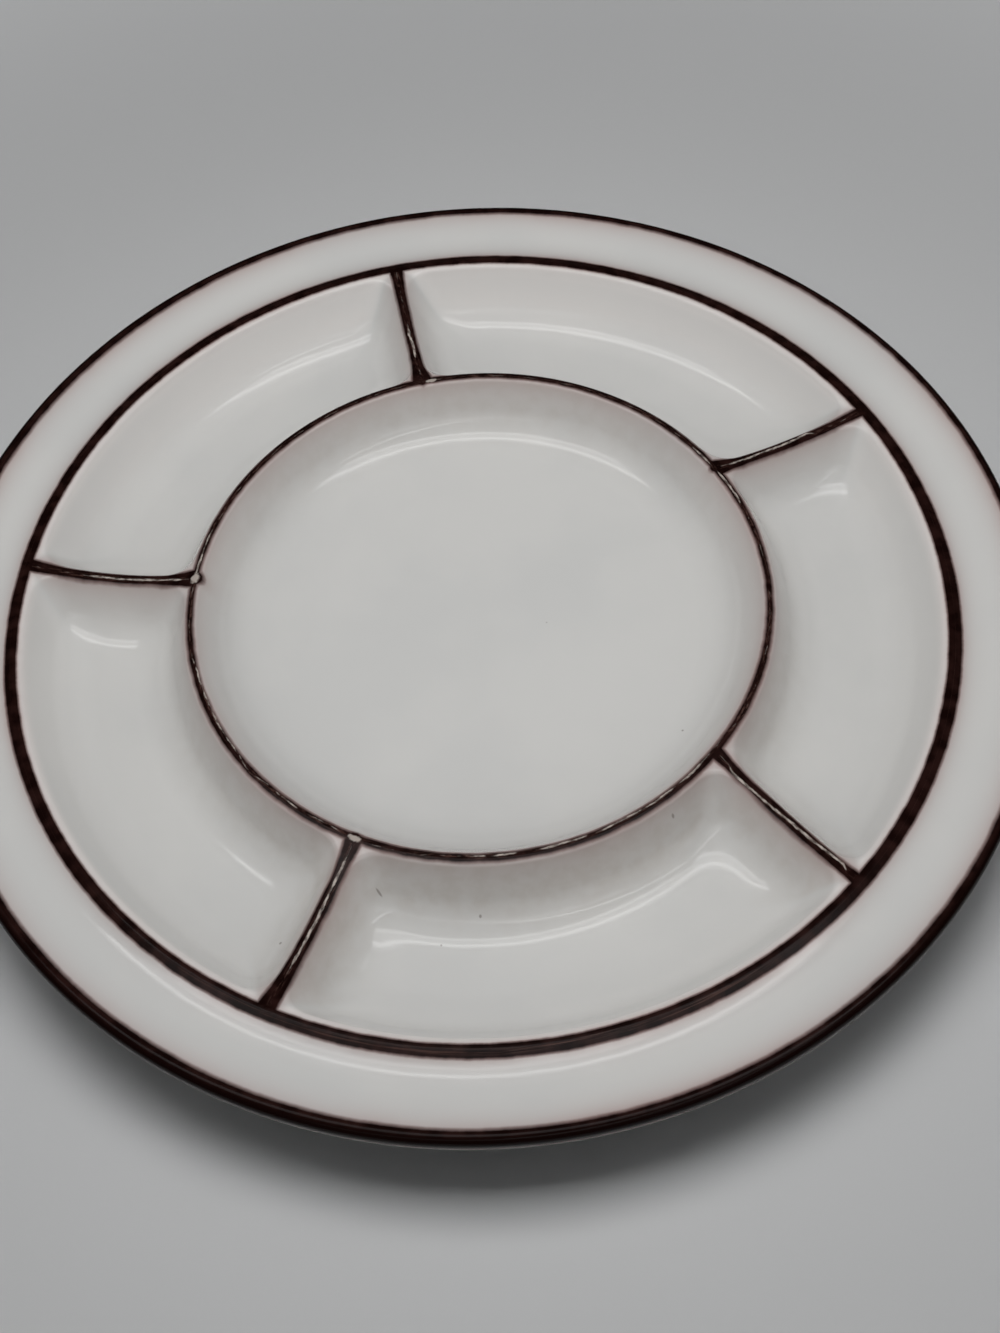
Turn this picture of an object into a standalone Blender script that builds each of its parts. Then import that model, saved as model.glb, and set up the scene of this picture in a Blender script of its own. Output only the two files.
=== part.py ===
"""A fondue plate: a centre well, a ring of sauce compartments, a flange with a lip, and a foot ring.

One pressed stoneware body carries separate white glaze fields and brown crest bands. Metres, +Z up. The origin
is on the table under the plate's centre, and one divider runs along +Y.
"""

from math import atan2, ceil, cos, pi, radians, sin, tan

import bmesh
import bpy
import numpy as np

# Plan
PLATE_DIAMETER = 0.254
FLANGE_WIDTH = 0.0199  # from the well crest to the outer edge of the lip
COMPARTMENT_WIDTH = 0.0401  # from the ring crest to the well crest
COMPARTMENT_COUNT = 5
FIRST_DIVIDER_ANGLE = 90.0  # degrees from +X
INNER_LEANS = (0.0, -0.1, 0.7, 1.9, 1.2)  # degrees, how far each divider's inner end is off its even place
OUTER_LEANS = (-0.4, -0.7, 0.5, -1.6, -1.7)  # degrees, the same for its outer end

# Wells
CENTRE_DEPTH = 0.0124  # from the crests down to the floor
COMPARTMENT_DEPTH = 0.0145
FLANK_ANGLE = 60.0  # degrees, the steepest part of every well wall
CREST_LAND = 0.0008  # half the level top of every crest
CREST_RADIUS = 0.0010
COVE_RADIUS = 0.0120  # from a wall into the floor
CORNER_BLEND = 0.0070  # plan length over which two walls round into each other
DIVIDER_SAG = 0.0027  # how far a divider's crest dips at its middle

# Flange, lip and outer wall
SHOULDER_WIDTH = 0.0074  # from the well crest to the lowest part of the flange
SHOULDER_DROP = 0.0016
SHOULDER_ROUND = 0.0025
FLANGE_ROUND = 0.0080
LIP_RISE = 0.0025  # how far the flange's plane, run out to the edge, is above the crests
LIP_THICKNESS = 0.0054
LIP_TOP_ROUND = 0.0019
LIP_UNDER_ROUND = 0.0019
FLANGE_FILLET = 0.0070  # under the flange, where it meets the outer wall
WALL_THICKNESS = 0.0060
FLOOR_THICKNESS = 0.0060

# Foot ring
FOOT_HEIGHT = 0.0035
FOOT_WIDTH = 0.0045
FOOT_INSET = 0.0045  # from the end of the outer wall's curve to the foot ring
FOOT_FILLET = 0.0012
FOOT_EDGE_ROUND = 0.0008
BARE_FOOT_HEIGHT = 0.0016  # the foot ring has no glaze below this

# Glaze
GLAZE_THICKNESS = 0.0006
GLAZE_GAP = 0.0003  # between a coat and the body, and between neighbouring coats
RING_BAND_WIDTH = 0.0022
WELL_BAND_INSIDE = 0.0003  # from the well crest towards the compartments
WELL_BAND_OUTSIDE = 0.0028  # from the well crest onto the shoulder
DIVIDER_BAND_WIDTH = 0.0029
INNER_FLARE = 0.0013  # how much wider each side of a divider's band is at its inner end
OUTER_FLARE = 0.0004
FLARE_LENGTH = 0.0120
LIP_BAND_SIDE = 0.0007  # how far the lip's band reaches down the edge, under the lip's top round

# Fineness of the facets
ARC_STEP = 48.0  # degrees, the longest turn of one chord on a rounded corner
WALL_SHARES = (0.0, 0.08, 0.34, 0.66, 1.0)  # where a well wall's facets break, from its band to its floor
WALL_LIMIT = 0.47  # the most of a compartment's width that one wall's facets take
FLOOR_COLUMNS = 3  # from a divider's cove to the middle of a compartment
SMOOTH_ANGLE = 40.0  # degrees, sharper edges are shaded as edges
SLOPE_STEP = 0.00001  # plan step for the face's slopes
WELD_DISTANCE = 0.000001  # for the points that meet on the plate's axis

# Worked out from the sizes above
OUTER_RADIUS = PLATE_DIAMETER / 2
WELL_CREST = OUTER_RADIUS - FLANGE_WIDTH
RING_CREST = WELL_CREST - COMPARTMENT_WIDTH
CREST_HEIGHT = FOOT_HEIGHT + FLOOR_THICKNESS + COMPARTMENT_DEPTH
LIP_HEIGHT = CREST_HEIGHT + LIP_RISE
SECTOR = 2 * pi / COMPARTMENT_COUNT
FLANK = radians(FLANK_ANGLE)
COAT = GLAZE_THICKNESS + GLAZE_GAP  # how far the body lies under the glaze's surface
RING_BAND_EDGE = RING_BAND_WIDTH / 2


def wall_section(depth):
    """A well wall's cove radius, and the plan distances from its land to the ends of round, flank and cove."""
    cove = np.minimum(COVE_RADIUS, depth / (1 - cos(FLANK)) - CREST_RADIUS)
    straight = (depth - (CREST_RADIUS + cove) * (1 - cos(FLANK))) / sin(FLANK)
    round_end = CREST_RADIUS * sin(FLANK)
    flank_end = round_end + straight * cos(FLANK)
    return cove, round_end, flank_end, flank_end + cove * sin(FLANK)


def wall_drop(distance, depth):
    """How far a well lies under its crest: a level land, a round, a straight flank, a cove and the level floor."""
    cove, round_end, flank_end, cove_end = wall_section(depth)
    distance = np.clip(distance - CREST_LAND, 0, cove_end)
    on_round = CREST_RADIUS - np.sqrt(np.maximum(CREST_RADIUS**2 - distance**2, 0))
    on_flank = CREST_RADIUS * (1 - cos(FLANK)) + (distance - round_end) * tan(FLANK)
    on_cove = depth - cove + np.sqrt(np.maximum(cove**2 - (cove_end - distance) ** 2, 0))
    return np.where(distance < round_end, on_round, np.where(distance < flank_end, on_flank, on_cove))


def blended(first, second):
    """The smaller of two wall distances, with the corner between the walls rounded."""
    shared = np.maximum(CORNER_BLEND - np.abs(first - second), 0)
    return np.minimum(first, second) - shared**2 / (4 * CORNER_BLEND)


def divider_turn(copy, radius):
    """Turn of a divider's middle line at a radius, which runs straight between its two leaning ends."""
    place = copy % COMPARTMENT_COUNT
    inner = INNER_LEANS[place % len(INNER_LEANS)]
    outer = OUTER_LEANS[place % len(OUTER_LEANS)]
    along = np.clip((radius - RING_CREST) / COMPARTMENT_WIDTH, 0, 1)
    return SECTOR * copy + np.radians(inner + (outer - inner) * along)


def beside_divider(x, y):
    """Plan distance to the nearest divider's middle line."""
    radius = np.hypot(x, y)
    turns = [np.arctan2(y, x) - divider_turn(copy, radius) for copy in range(COMPARTMENT_COUNT)]
    nearest = np.min([np.abs((turn + pi) % (2 * pi) - pi) for turn in turns], axis=0)
    return radius * np.sin(np.minimum(nearest, pi / 2))


def face_height(x, y):
    """Height of the glazed face inside the well crest, with the first divider along +X."""
    radius = np.hypot(x, y)
    along_divider = (radius - RING_CREST) / COMPARTMENT_WIDTH
    sag = 4 * DIVIDER_SAG * np.maximum(along_divider * (1 - along_divider), 0)
    between_crests = blended(radius - RING_CREST, WELL_CREST - radius)
    compartment = sag + wall_drop(blended(between_crests, beside_divider(x, y)), COMPARTMENT_DEPTH - sag)
    centre = wall_drop(RING_CREST - radius, CENTRE_DEPTH)
    return CREST_HEIGHT - np.where(radius < RING_CREST, centre, compartment)


def face_points(radius, turns, inset):
    """Points of the face at one radius, moved into the plate along the face's normals."""
    x = radius * np.cos(turns)
    y = radius * np.sin(turns)
    slope_x = (face_height(x + SLOPE_STEP, y) - face_height(x - SLOPE_STEP, y)) / (2 * SLOPE_STEP)
    slope_y = (face_height(x, y + SLOPE_STEP) - face_height(x, y - SLOPE_STEP)) / (2 * SLOPE_STEP)
    normal = np.stack([-slope_x, -slope_y, np.ones_like(x)], axis=-1)
    normal /= np.linalg.norm(normal, axis=-1, keepdims=True)
    return np.stack([x, y, face_height(x, y)], axis=-1) - inset * normal


def band_edge(radius):
    """Half the width of a divider's band at a radius, flared towards both crests."""
    inner = INNER_FLARE * max(1 - (radius - RING_CREST) / FLARE_LENGTH, 0) ** 2
    outer = OUTER_FLARE * max(1 - (WELL_CREST - radius) / FLARE_LENGTH, 0) ** 2
    return DIVIDER_BAND_WIDTH / 2 + inner + outer


def compartment_turns(copy, radius, clearance):
    """Turns across one compartment, from its first divider's band to the next one's."""
    start = divider_turn(copy, radius)
    end = divider_turn(copy + 1, radius)
    first = band_edge(radius) + clearance
    wall_end = CREST_LAND + wall_section(COMPARTMENT_DEPTH)[-1]
    beside = [first + share * (wall_end - first) for share in WALL_SHARES]
    walls = np.arcsin(np.array(beside) / radius)
    floor = np.linspace(walls[-1], (end - start) / 2, FLOOR_COLUMNS + 1)[1:]
    half = np.concatenate([walls, floor])
    return np.concatenate([start + half, end - half[-2::-1]])


def spokes(radius):
    """Turns of the whole plate's columns of facets, which bend only along the dividers."""
    within = min(max(radius, RING_CREST), WELL_CREST)
    columns = []
    for copy in range(COMPARTMENT_COUNT):
        columns += [[divider_turn(copy, within)], compartment_turns(copy, within, 0.0)]
    return np.concatenate(columns)


def centre_radii(edge):
    """Radii of the centre well's facets, from its floor to an edge beside the ring crest."""
    wall_end = CREST_LAND + wall_section(CENTRE_DEPTH)[-1]
    return [RING_CREST - edge - share * (wall_end - edge) for share in reversed(WALL_SHARES)]


def compartment_radii(inner_edge, outer_edge):
    """Radii of a compartment's facets, between edges beside the ring crest and the well crest."""
    wall_end = min(CREST_LAND + wall_section(COMPARTMENT_DEPTH)[-1], COMPARTMENT_WIDTH * WALL_LIMIT)
    inner = [RING_CREST + inner_edge + share * (wall_end - inner_edge) for share in WALL_SHARES]
    outer = [WELL_CREST - outer_edge - share * (wall_end - outer_edge) for share in reversed(WALL_SHARES)]
    return inner + outer


def face_grid(radii, turns_at, inset):
    """Rows of face points, one for each radius."""
    return np.array([face_points(radius, turns_at(radius), inset) for radius in radii])


def rounded_path(corners):
    """A section path through (radius, height, round) corners, and where each corner's arc starts and ends."""
    places = [np.array(corner[:2]) for corner in corners]
    points = [places[0]]
    arcs = [(0, 0)]
    for before, place, after, (_, _, size) in zip(places, places[1:], places[2:], corners[1:]):
        into = (place - before) / np.linalg.norm(place - before)
        out = (after - place) / np.linalg.norm(after - place)
        turn = atan2(into[0] * out[1] - into[1] * out[0], into @ out)
        side = np.array([-into[1], into[0]]) * (1 if turn > 0 else -1)
        start = place - into * size * tan(abs(turn) / 2)
        chords = max(ceil(abs(turn) / radians(ARC_STEP)), 1)
        for step in range(chords + 1):
            swept = abs(turn) * step / chords
            points.append(start + size * (sin(swept) * into + (1 - cos(swept)) * side))
        arcs.append((len(points) - chords - 1, len(points) - 1))
    points.append(places[-1])
    return np.array(points), arcs


def crossing(first_point, first_way, second_point, second_way):
    """Where two straight lines of the section meet."""
    ways = np.array([first_way, [-part for part in second_way]]).T
    along = np.linalg.solve(ways, np.subtract(second_point, first_point))[0]
    return np.add(first_point, np.multiply(along, first_way))


def path_lengths(path):
    """Length along a path to each of its points."""
    return np.concatenate([[0.0], np.cumsum(np.linalg.norm(np.diff(path, axis=0), axis=1))])


def stretch(path, start, end):
    """The part of a path between two lengths along it."""
    lengths = path_lengths(path)
    within = path[(lengths > start + WELD_DISTANCE) & (lengths < end - WELD_DISTANCE)]
    ends = [[np.interp(length, lengths, path[:, part]) for part in (0, 1)] for length in (start, end)]
    return np.vstack([ends[:1], within, ends[1:]])


def inset_path(path, inset):
    """A path moved into the plate, with every chord kept parallel to itself."""
    chords = np.diff(path, axis=0)
    chords /= np.linalg.norm(chords, axis=1, keepdims=True)
    outward = np.stack([-chords[:, 1], chords[:, 0]], axis=1)
    before = np.vstack([outward[:1], outward])
    after = np.vstack([outward, outward[-1:]])
    mitre = (before + after) / (1 + np.sum(before * after, axis=1, keepdims=True))
    return path - inset * mitre


def turned_grid(path, inset):
    """Rows of points from turning a section path round the plate's axis."""
    rows = []
    for radius, height in inset_path(path, inset):
        turns = spokes(WELL_CREST)
        rows.append(np.stack([radius * np.cos(turns), radius * np.sin(turns), np.full_like(turns, height)], -1))
    return np.array(rows)


def join_rows(mesh, upper, lower, ring):
    """Triangles between two rows of vertices; a ring's last column joins its first."""
    pairs = list(zip(upper, lower))
    if ring:
        pairs.append(pairs[0])
    for (a, b), (c, d) in zip(pairs, pairs[1:]):
        mesh.faces.new((a, b, d))
        mesh.faces.new((a, d, c))


def add_skin(mesh, grid, ring):
    """Vertices and triangles over a grid of points."""
    rows = [[mesh.verts.new(point) for point in row] for row in grid]
    for upper, lower in zip(rows, rows[1:]):
        join_rows(mesh, upper, lower, ring)
    return rows


def finish_mesh(mesh, name):
    """Welds the points on the axis, turns the faces outward and shades them smooth."""
    bmesh.ops.remove_doubles(mesh, verts=mesh.verts, dist=WELD_DISTANCE)
    bmesh.ops.recalc_face_normals(mesh, faces=mesh.faces)
    data = bpy.data.meshes.new(name)
    mesh.to_mesh(data)
    mesh.free()
    data.shade_smooth()
    data.set_sharp_from_angle(angle=radians(SMOOTH_ANGLE))
    return data


def coat_mesh(name, grid_at, ring=True, pole=None):
    """A coat of glaze between a grid of surface points and the same grid under it.

    A ring goes all round the plate, and pole says which of its rows, if any, closes to a point on the axis."""
    mesh = bmesh.new()
    outer = add_skin(mesh, grid_at(0.0), ring)
    inner = add_skin(mesh, grid_at(GLAZE_THICKNESS), ring)
    if pole != "first":
        join_rows(mesh, outer[0], inner[0], ring)
    if pole != "last":
        join_rows(mesh, outer[-1], inner[-1], ring)
    if not ring:
        for column in (0, -1):
            join_rows(mesh, [row[column] for row in outer], [row[column] for row in inner], False)
    return finish_mesh(mesh, name)


def material(name, colour, roughness):
    """A glaze or clay material."""
    made = bpy.data.materials.new(name)
    made.use_nodes = True
    shader = made.node_tree.nodes["Principled BSDF"]
    shader.inputs["Base Color"].default_value = (*colour, 1.0)
    shader.inputs["Roughness"].default_value = roughness
    shader.inputs["Metallic"].default_value = 0.0
    return made


def rim_section():
    """The glazed section from the well crest over the flange, lip and outer wall to the foot ring's bare edge.

    Also gives the lengths along it where the lip's band starts and ends, and the foot ring's outer radius."""
    lip_under = (OUTER_RADIUS, LIP_HEIGHT - LIP_THICKNESS)
    flange_way = (FLANGE_WIDTH - SHOULDER_WIDTH, LIP_RISE + SHOULDER_DROP)
    flank_way = (cos(FLANK), sin(FLANK))
    wall_top = (
        WELL_CREST - CREST_LAND - (CREST_RADIUS - WALL_THICKNESS) * sin(FLANK),
        CREST_HEIGHT - CREST_RADIUS + (CREST_RADIUS - WALL_THICKNESS) * cos(FLANK),
    )
    under_flange = crossing(lip_under, flange_way, wall_top, flank_way)
    wall_foot = crossing(wall_top, flank_way, (0.0, FOOT_HEIGHT), (1.0, 0.0))
    wall_round = COVE_RADIUS + WALL_THICKNESS
    foot_outer = wall_foot[0] - wall_round * tan(FLANK / 2) - FOOT_INSET
    path, arcs = rounded_path(
        [
            (WELL_CREST, CREST_HEIGHT, 0.0),
            (WELL_CREST + CREST_LAND, CREST_HEIGHT, SHOULDER_ROUND),
            (WELL_CREST + SHOULDER_WIDTH, CREST_HEIGHT - SHOULDER_DROP, FLANGE_ROUND),
            (OUTER_RADIUS, LIP_HEIGHT, LIP_TOP_ROUND),
            (*lip_under, LIP_UNDER_ROUND),
            (*under_flange, FLANGE_FILLET),
            (*wall_foot, wall_round),
            (foot_outer + COAT, FOOT_HEIGHT, FOOT_FILLET),
            (foot_outer + COAT, BARE_FOOT_HEIGHT, 0.0),
        ]
    )
    lengths = path_lengths(path)
    top_round_start, top_round_end = arcs[3]
    return path, lengths[top_round_start], lengths[top_round_end] + LIP_BAND_SIDE, foot_outer


def plate_sections():
    """Every turned section by name, from the well crest round the lip and the foot ring to the plate's axis."""
    rim, lip_start, lip_end, foot_outer = rim_section()
    foot_inner = foot_outer - FOOT_WIDTH
    bare_foot, _ = rounded_path(
        [
            (foot_outer, BARE_FOOT_HEIGHT, 0.0),
            (foot_outer, 0.0, FOOT_EDGE_ROUND),
            (foot_inner, 0.0, FOOT_EDGE_ROUND),
            (foot_inner, BARE_FOOT_HEIGHT, 0.0),
        ]
    )
    foot_well, _ = rounded_path(
        [
            (foot_inner - COAT, BARE_FOOT_HEIGHT, 0.0),
            (foot_inner - COAT, FOOT_HEIGHT, FOOT_FILLET),
            (0.0, FOOT_HEIGHT, 0.0),
        ]
    )
    lengths = path_lengths(rim)
    on_top = lengths <= lip_start
    band_end = np.interp(WELL_CREST + WELL_BAND_OUTSIDE, rim[on_top, 0], lengths[on_top])
    return {
        "rim": rim,
        "shoulder": stretch(rim, 0.0, band_end),
        "flange": stretch(rim, band_end + GLAZE_GAP, lip_start - GLAZE_GAP),
        "lip": stretch(rim, lip_start, lip_end),
        "underside": stretch(rim, lip_end + GLAZE_GAP, lengths[-1]),
        "bare_foot": bare_foot,
        "foot_well": foot_well,
    }


def body_mesh(sections):
    """The clay body: one closed skin from the middle of the face, round the lip, to the middle of the underside."""
    radii = [0.0, *centre_radii(RING_BAND_EDGE), RING_CREST, *compartment_radii(RING_BAND_EDGE, WELL_BAND_INSIDE)]
    rows = [
        face_grid(radii, spokes, COAT),
        turned_grid(sections["rim"], COAT)[:-1],
        turned_grid(sections["bare_foot"], 0.0),
        turned_grid(sections["foot_well"], COAT)[1:],
    ]
    mesh = bmesh.new()
    add_skin(mesh, np.vstack(rows), True)
    return finish_mesh(mesh, "stoneware_body")


def centre_glaze_mesh():
    """The white field in the centre well."""
    radii = [0.0, *centre_radii(RING_BAND_EDGE + GLAZE_GAP)]
    return coat_mesh("centre_well_glaze", lambda inset: face_grid(radii, spokes, inset), pole="first")


def ring_band_mesh():
    """The brown band on the crest round the centre well."""
    radii = [RING_CREST - RING_BAND_EDGE, RING_CREST, RING_CREST + RING_BAND_EDGE]
    return coat_mesh("ring_band", lambda inset: face_grid(radii, spokes, inset))


def well_band_mesh(sections):
    """The brown band on the crest between the compartments and the flange."""

    def grid_at(inset):
        inside = face_grid([WELL_CREST - WELL_BAND_INSIDE], spokes, inset)
        return np.vstack([inside, turned_grid(sections["shoulder"], inset)])

    return coat_mesh("well_band", grid_at)


def turned_mesh(name, section, pole=None):
    """A coat on a turned part of the plate."""
    return coat_mesh(name, lambda inset: turned_grid(section, inset), pole=pole)


def sector_radii():
    """Radii of the fields and bands between the ring's band and the well crest's."""
    return compartment_radii(RING_BAND_EDGE + GLAZE_GAP, WELL_BAND_INSIDE + GLAZE_GAP)


def compartment_glaze_mesh(copy):
    """The white field in one sauce compartment."""

    def turns_at(radius):
        return compartment_turns(copy, radius, GLAZE_GAP)

    return coat_mesh("compartment_glaze", lambda inset: face_grid(sector_radii(), turns_at, inset), ring=False)


def divider_band_mesh(copy):
    """The brown band along one divider's crest."""

    def turns_at(radius):
        half = np.arcsin(band_edge(radius) / radius)
        return divider_turn(copy, radius) + np.array([-half, 0.0, half])

    return coat_mesh("divider_band", lambda inset: face_grid(sector_radii(), turns_at, inset), ring=False)


def place(name, data, finish, parent):
    """An object for one piece."""
    piece = bpy.data.objects.new(name, data)
    data.materials.append(finish)
    piece.parent = parent
    bpy.context.scene.collection.objects.link(piece)


def main():
    for old in list(bpy.data.objects):
        bpy.data.objects.remove(old, do_unlink=True)

    stoneware = material("stoneware", (0.42, 0.36, 0.29), 0.75)
    white = material("white_glaze", (0.66, 0.65, 0.62), 0.12)
    brown = material("brown_glaze", (0.022, 0.010, 0.008), 0.18)

    plate = bpy.data.objects.new("fondue_plate", None)
    plate.rotation_euler.z = radians(FIRST_DIVIDER_ANGLE)
    bpy.context.scene.collection.objects.link(plate)

    sections = plate_sections()
    place("stoneware_body", body_mesh(sections), stoneware, plate)
    place("centre_well_glaze", centre_glaze_mesh(), white, plate)
    place("ring_band", ring_band_mesh(), brown, plate)
    place("well_band", well_band_mesh(sections), brown, plate)
    place("flange_glaze", turned_mesh("flange_glaze", sections["flange"]), white, plate)
    place("lip_band", turned_mesh("lip_band", sections["lip"]), brown, plate)
    place("underside_glaze", turned_mesh("underside_glaze", sections["underside"]), white, plate)
    place("foot_well_glaze", turned_mesh("foot_well_glaze", sections["foot_well"], pole="last"), white, plate)

    for copy in range(COMPARTMENT_COUNT):
        place(f"compartment_glaze_{copy + 1}", compartment_glaze_mesh(copy), white, plate)
        place(f"divider_band_{copy + 1}", divider_band_mesh(copy), brown, plate)


main()
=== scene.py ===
"""The fondue plate's finish: white glaze fields and brown crest bands over a pressed stoneware body.

Metres, +Z up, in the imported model's own frame: the plate stands on z = 0 and one divider runs along +Y.
"""

from math import ceil, cos, pi, radians, sin, tan

import bpy
import numpy as np
from mathutils import Matrix, Vector


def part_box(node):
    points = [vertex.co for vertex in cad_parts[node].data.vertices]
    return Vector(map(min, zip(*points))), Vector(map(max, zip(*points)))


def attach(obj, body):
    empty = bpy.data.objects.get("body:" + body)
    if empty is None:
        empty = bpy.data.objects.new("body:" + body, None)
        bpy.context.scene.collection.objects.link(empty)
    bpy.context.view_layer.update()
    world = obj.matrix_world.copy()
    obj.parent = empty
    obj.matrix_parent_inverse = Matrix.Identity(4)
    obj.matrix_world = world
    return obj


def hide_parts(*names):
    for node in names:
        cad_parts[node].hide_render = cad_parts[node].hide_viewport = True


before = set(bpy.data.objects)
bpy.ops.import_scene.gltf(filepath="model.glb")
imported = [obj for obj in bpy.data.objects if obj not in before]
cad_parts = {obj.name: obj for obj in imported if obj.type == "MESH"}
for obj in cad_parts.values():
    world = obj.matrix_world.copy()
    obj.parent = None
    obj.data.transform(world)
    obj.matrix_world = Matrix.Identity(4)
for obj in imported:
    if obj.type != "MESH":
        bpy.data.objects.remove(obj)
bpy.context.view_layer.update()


# The clay body: stoneware pressed in a mould, in one piece with its six wells, dividers, flange, lip and
# foot ring. It is turned clean underneath and fired. Glaze hides all but the foot ring's resting face.
glaze_thickness = 0.0006
clay_under_glaze = 0.0009  # how far the clay lies under the glaze's surface
ring_band_half = 0.0011
well_band_outside = 0.0028
plate_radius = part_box("lip_band")[1].y
well_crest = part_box("well_band")[1].y - well_band_outside
ring_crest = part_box("ring_band")[1].y - ring_band_half
crest_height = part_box("ring_band")[1].z
centre_depth = crest_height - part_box("centre_well_glaze")[0].z - glaze_thickness
compartment_depth = crest_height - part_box("compartment_glaze_1")[0].z - glaze_thickness
compartment_count = 5
sector = 2 * pi / compartment_count
inner_leans = np.radians((0.0, -0.1, 0.7, 1.9, 1.2))  # of each divider's inner end, off its even place
outer_leans = np.radians((-0.4, -0.7, 0.5, -1.6, -1.7))  # the same for its outer end

flank = radians(60.0)  # the steepest part of every well wall
crest_land = 0.0008  # half the level top of every crest
crest_round = 0.0010
cove_round = 0.0120
corner_blend = 0.0070
divider_sag = 0.0027

flange_width = plate_radius - well_crest
shoulder_width = 0.0074
shoulder_drop = 0.0016
shoulder_round = 0.0025
flange_round = 0.0120
lip_rise = 0.0025
lip_thickness = 0.0054
lip_top_round = 0.0019
lip_under_round = 0.0019
lip_band_side = 0.0007  # how far the lip's band reaches down the edge, under its top round
flange_fillet = 0.0070
wall_thickness = 0.0060

foot_width = 0.0045
foot_height = 0.0035
foot_fillet = 0.0012
foot_edge_round = 0.0008
bare_foot_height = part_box("underside_glaze")[0].z
foot_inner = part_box("foot_well_glaze")[1].y + clay_under_glaze
foot_outer = foot_inner + foot_width

# The warp's waves: height, radians per metre along X and along Y, and start
slow_waves = ((0.00009, 27.0, 12.0, 0.6), (0.00006, -19.0, 44.0, 2.1))
ripple_height = 0.000022
ripple_waves = ((210.0, 90.0, 0.0), (-120.0, 180.0, 0.8))

buff_clay = (0.46, 0.39, 0.31)
smudged_clay = (0.33, 0.28, 0.225)
grog_colour = (0.13, 0.10, 0.08)


def wall_drop(distance, depth):
    """How far a well lies under its crest: a level land, a round, a straight flank, a cove and a floor."""
    cove = np.minimum(cove_round, depth / (1 - cos(flank)) - crest_round)
    straight = (depth - (crest_round + cove) * (1 - cos(flank))) / sin(flank)
    round_end = crest_round * sin(flank)
    flank_end = round_end + straight * cos(flank)
    cove_end = flank_end + cove * sin(flank)
    distance = np.clip(distance - crest_land, 0, cove_end)
    on_round = crest_round - np.sqrt(np.maximum(crest_round**2 - distance**2, 0))
    on_flank = crest_round * (1 - cos(flank)) + (distance - round_end) * tan(flank)
    on_cove = depth - cove + np.sqrt(np.maximum(cove**2 - (cove_end - distance) ** 2, 0))
    return np.where(distance < round_end, on_round, np.where(distance < flank_end, on_flank, on_cove))


def rounded_least(first, second):
    """The smaller of two wall distances, less a parabola where they are nearly equal: a rounded corner."""
    shared = np.maximum(corner_blend - np.abs(first - second), 0)
    return np.minimum(first, second) - shared**2 / (4 * corner_blend)


def divider_turn(copy, radius):
    """Turn from +Y of a divider's middle line at a radius: straight between its two leaning ends."""
    lean = np.array([inner_leans, outer_leans])[:, copy % compartment_count]
    along = np.clip((radius - ring_crest) / (well_crest - ring_crest), 0, 1)
    return sector * copy + lean[0] + (lean[1] - lean[0]) * along


def beside_dividers(x, y):
    """Plan distances to each divider's middle line: radius times the sine of the turn from it."""
    radius = np.hypot(x, y)
    turns = [np.arctan2(-x, y) - divider_turn(copy, radius) for copy in range(compartment_count)]
    off = [np.abs((turn + pi) % (2 * pi) - pi) for turn in turns]
    return radius * np.sin(np.minimum(off, pi / 2))


def face_height(x, y):
    """Height of the glazed face inside the well crest: the crests' height less the drop of the nearest wall.

    A divider's crest sags as a parabola between the ring crest and the well crest."""
    radius = np.hypot(x, y)
    along = (radius - ring_crest) / (well_crest - ring_crest)
    sag = 4 * divider_sag * np.maximum(along * (1 - along), 0)
    to_crest = rounded_least(radius - ring_crest, well_crest - radius)
    to_wall = rounded_least(to_crest, beside_dividers(x, y).min(axis=0))
    compartment = sag + wall_drop(to_wall, compartment_depth - sag)
    centre = wall_drop(ring_crest - radius, centre_depth)
    return crest_height - np.where(radius < ring_crest, centre, compartment)


def face_grid(radii, turns):
    """Points of the face over grids of radii and of turns from +Y."""
    radii, turns = np.broadcast_arrays(radii, turns)
    x = -radii * np.sin(turns)
    y = radii * np.cos(turns)
    return np.stack([x, y, face_height(x, y)], axis=-1)


def rounded_path(corners, step=radians(3.0)):
    """A section through (radius, height, round) corners: straight runs, joined by arcs tangent to both.

    Also gives the indices where each corner's arc starts and ends."""
    places = [np.array(corner[:2]) for corner in corners]
    runs = [places[:1]]
    arcs = []
    for before, place, after, (_, _, size) in zip(places, places[1:], places[2:], corners[1:]):
        into = (place - before) / np.linalg.norm(place - before)
        out = (after - place) / np.linalg.norm(after - place)
        turn = np.arctan2(into[0] * out[1] - into[1] * out[0], into @ out)
        side = np.array([-into[1], into[0]]) * np.sign(turn)
        start = place - into * size * tan(abs(turn) / 2)
        swept = np.linspace(0, abs(turn), max(ceil(abs(turn) / step), 1) + 1)[:, None]
        first = sum(len(run) for run in runs)
        runs.append(start + size * (np.sin(swept) * into + (1 - np.cos(swept)) * side))
        arcs.append((first, first + len(swept) - 1))
    runs.append(places[-1:])
    return np.vstack(runs), arcs


def lengths_along(path):
    """Length along a path to each of its points."""
    return np.concatenate([[0.0], np.cumsum(np.linalg.norm(np.diff(path, axis=0), axis=1))])


def stretch(path, start, end, count):
    """Evenly spaced points of a path between two lengths along it."""
    wanted = np.linspace(start, end, count)
    return np.stack([np.interp(wanted, lengths_along(path), path[:, part]) for part in (0, 1)], axis=1)


def whole(path, count):
    """Evenly spaced points of a whole path."""
    return stretch(path, 0.0, lengths_along(path)[-1], count)


def crossing(first_point, first_way, second_point, second_way):
    """Where two straight lines of the section meet."""
    ways = np.array([first_way, np.negative(second_way)]).T
    along = np.linalg.solve(ways, np.subtract(second_point, first_point))[0]
    return np.add(first_point, np.multiply(along, first_way))


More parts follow.
